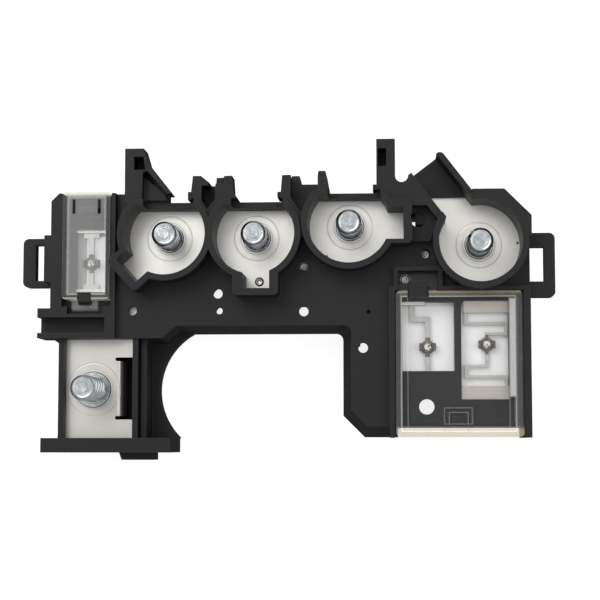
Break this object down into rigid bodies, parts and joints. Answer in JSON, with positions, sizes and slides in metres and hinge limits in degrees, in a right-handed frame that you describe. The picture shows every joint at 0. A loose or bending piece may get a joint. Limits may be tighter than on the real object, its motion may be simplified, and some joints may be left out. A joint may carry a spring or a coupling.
{
  "type": "battery terminal fuse",
  "caption": "Flat battery fuse carrier with threaded studs in round pockets, tinned bus bars and clear hinged lids over the fuse links.",
  "frame": {"origin": "middle of the bounding box, on the back face that the block lies on", "axes": "+X to the right along the row of pockets, +Y up the face, +Z out of the face along the studs"},
  "size_m": [0.1671, 0.0987, 0.036],
  "materials": {
    "carrier_plastic": "satin moulded black nylon",
    "tinned_copper": "dull tin plating on copper",
    "tin_alloy": "soft cast tin",
    "zinc_plated_steel": "bright zinc plating",
    "clear_plastic": "clear moulded polycarbonate"
  },
  "bodies": {
    "carrier": {"housing": "carrier_plastic", "battery_bus_bar": "tinned_copper", "outlet_bar_1": "tinned_copper", "outlet_bar_3": "tinned_copper", "outlet_bar_4": "tinned_copper", "fuse_link_1": "tinned_copper", "fuse_link_2": "tinned_copper", "fuse_link_3": "tinned_copper", "tin_pellet_1": "tin_alloy", "tin_pellet_2": "tin_alloy", "tin_pellet_3": "tin_alloy", "battery_stud_m8": "zinc_plated_steel", "outlet_stud_m8_1": "zinc_plated_steel", "outlet_stud_m8_2": "zinc_plated_steel", "outlet_stud_m8_3": "zinc_plated_steel", "outlet_stud_m8_4": "zinc_plated_steel", "bar_rivet_1": "tinned_copper", "bar_rivet_2": "tinned_copper", "bar_rivet_3": "tinned_copper", "bar_rivet_4": "tinned_copper"},
    "lid_left": {"fuse_lid_left": "clear_plastic"},
    "lid_right": {"fuse_lid_right": "clear_plastic"}
  },
  "joints": [
    {"name": "left_lid_hinge", "type": "hinge", "parent": "carrier", "child": "lid_left", "pos_m": [-0.063, -0.00165, 0.0226], "axis": [1, 0, 0], "range_deg": [0, 60]},
    {"name": "right_lid_lift", "type": "slide", "parent": "carrier", "child": "lid_right", "axis": [0, 0, 1], "range_m": [0, 0.03]}
  ]
}
